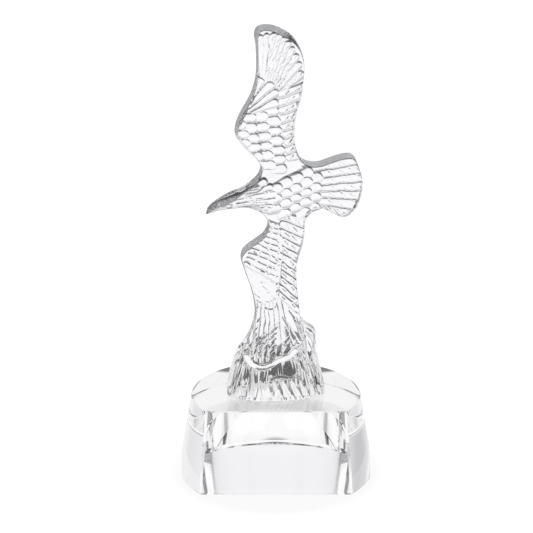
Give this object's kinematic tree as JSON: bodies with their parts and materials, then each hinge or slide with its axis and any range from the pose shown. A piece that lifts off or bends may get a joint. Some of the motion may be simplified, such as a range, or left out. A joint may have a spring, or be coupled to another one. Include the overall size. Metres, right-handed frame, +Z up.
{
  "type": "eagle trophy",
  "caption": "Clear crystal trophy: an eagle with raised wing cast in one with a rocky stump, standing on a round tapered crystal base with a flat front facet.",
  "frame": {"origin": "the middle of the base's flat underside, on the axis of its round wall", "axes": "+Z up along the base's axis, -Y towards the front facet, +X towards the eagle's tail"},
  "size_m": [0.112, 0.0927, 0.2599],
  "materials": {
    "cut_crystal": "clear optical crystal, ground and polished",
    "cast_crystal": "clear crystal, pressed in a mould and fire polished"
  },
  "bodies": {
    "root": {"crystal_base": "cut_crystal", "eagle_figure": "cast_crystal"}
  },
  "joints": []
}
